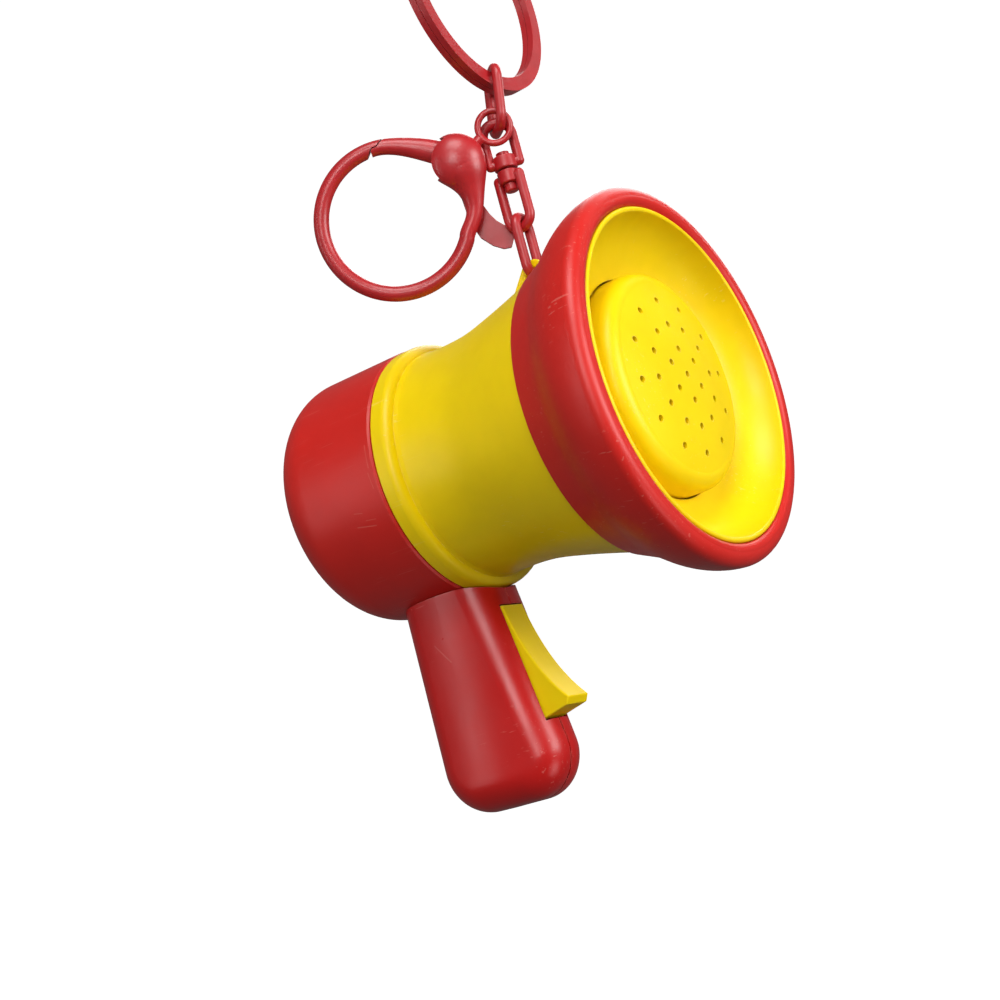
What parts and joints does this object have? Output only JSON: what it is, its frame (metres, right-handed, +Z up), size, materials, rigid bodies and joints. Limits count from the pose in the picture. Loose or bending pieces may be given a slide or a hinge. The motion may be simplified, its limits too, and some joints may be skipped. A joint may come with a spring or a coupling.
{
  "type": "handheld megaphone",
  "caption": "Miniature hand megaphone with a pull trigger, hanging by a swivel chain with a spring clasp from a split key ring.",
  "frame": {"origin": "highest point inside the key ring, where a hook carries the object", "axes": "+X along the horn towards its mouth, +Z up along the hanging chain, +Y towards the battery door"},
  "size_m": [0.0602, 0.052, 0.1255],
  "materials": {
    "red_plastic": "satin moulded plastic, faint scratches",
    "yellow_plastic": "satin moulded plastic",
    "red_metal": "glossy baked paint on zinc and steel",
    "bare_steel": "bright",
    "magnet": "matt sintered",
    "cone_film": "translucent film",
    "circuit": "solder resist",
    "black_plastic": "matt",
    "wire_cover": "flexible insulation",
    "cell_can": "bright nickel",
    "nickel": "spring steel, nickel plated"
  },
  "bodies": {
    "ring": {"key_ring": "red_metal"},
    "top_link": {"top_link": "red_metal"},
    "clasp": {"clasp_body": "red_metal", "clasp_pin": "red_metal", "clasp_spring": "nickel"},
    "gate": {"clasp_gate": "red_metal"},
    "swivel_upper": {"swivel_upper": "red_metal", "swivel_rivet": "red_metal"},
    "swivel_lower": {"swivel_lower": "red_metal"},
    "tab_link": {"tab_link": "red_metal"},
    "horn": {"rear_cup": "red_plastic", "horn_body": "yellow_plastic", "bell_rim": "red_plastic", "horn_liner": "yellow_plastic", "speaker_grille": "yellow_plastic", "speaker_frame": "bare_steel", "speaker_cone": "cone_film", "speaker_magnet": "magnet", "speaker_ring": "black_plastic", "battery_holder": "black_plastic", "battery_door": "yellow_plastic", "battery_door_screw": "bare_steel", "button_cells": "cell_can", "contact_spring": "nickel", "contact_plate": "nickel", "circuit_board": "circuit", "board_screws": "bare_steel", "sound_chip": "black_plastic", "microphone": "bare_steel", "switch_board": "circuit", "trigger_switch": "black_plastic", "speaker_wires": "wire_cover", "battery_wires": "wire_cover", "switch_wires": "wire_cover", "microphone_leads": "nickel", "handle_left": "red_plastic", "handle_right": "red_plastic", "handle_screws": "bare_steel", "trigger_pin": "bare_steel"},
    "plunger": {"switch_plunger": "black_plastic"},
    "trigger": {"trigger": "yellow_plastic"}
  },
  "joints": [
    {"name": "link_round_ring", "type": "hinge", "parent": "ring", "child": "top_link", "pos_m": [0, 0, -0.01315], "axis": [1, 0, 0], "continuous": true},
    {"name": "clasp_swing", "type": "hinge", "parent": "top_link", "child": "clasp", "pos_m": [-0.00076, -0.00202, -0.03366], "axis": [0.5477, -0.8181, -0.1754], "range_deg": [-60, 0]},
    {"name": "clasp_gate_open", "type": "hinge", "parent": "clasp", "child": "gate", "pos_m": [-0.00626, -0.00496, -0.03715], "axis": [0.5477, -0.8181, -0.1754], "range_deg": [0, 16.5], "stiffness_Nm_per_rad": 0.01, "springref_deg": -20.05},
    {"name": "swivel_swing", "type": "hinge", "parent": "top_link", "child": "swivel_upper", "pos_m": [-0.00098, -0.00074, -0.0338], "axis": [0.7431, -0.6691, 0], "range_deg": [0, 15]},
    {"name": "swivel_spin", "type": "hinge", "parent": "swivel_upper", "child": "swivel_lower", "pos_m": [-0.0018, 0, -0.0395], "axis": [0, 0, 1], "range_deg": [-30, 30]},
    {"name": "tab_link_swing", "type": "hinge", "parent": "swivel_lower", "child": "tab_link", "pos_m": [-0.0018, 0, -0.04792], "axis": [1, 0, 0], "range_deg": [-20, 20]},
    {"name": "horn_swing", "type": "hinge", "parent": "tab_link", "child": "horn", "pos_m": [-0.0018, 0, -0.055], "axis": [0, 1, 0], "range_deg": [-30, 10]},
    {"name": "switch_press", "type": "slide", "parent": "horn", "child": "plunger", "axis": [-1, 0, 0], "range_m": [0, 0.0008]},
    {"name": "trigger_pull", "type": "hinge", "parent": "horn", "child": "trigger", "pos_m": [-0.0216, 0, -0.0989], "axis": [0, 1, 0], "range_deg": [0, 4.5], "stiffness_Nm_per_rad": 0.02, "springref_deg": -5.73}
  ],
  "couplings": [
    {"joint": "switch_press", "follows": "trigger_pull", "m_per_rad": 0.0096}
  ]
}
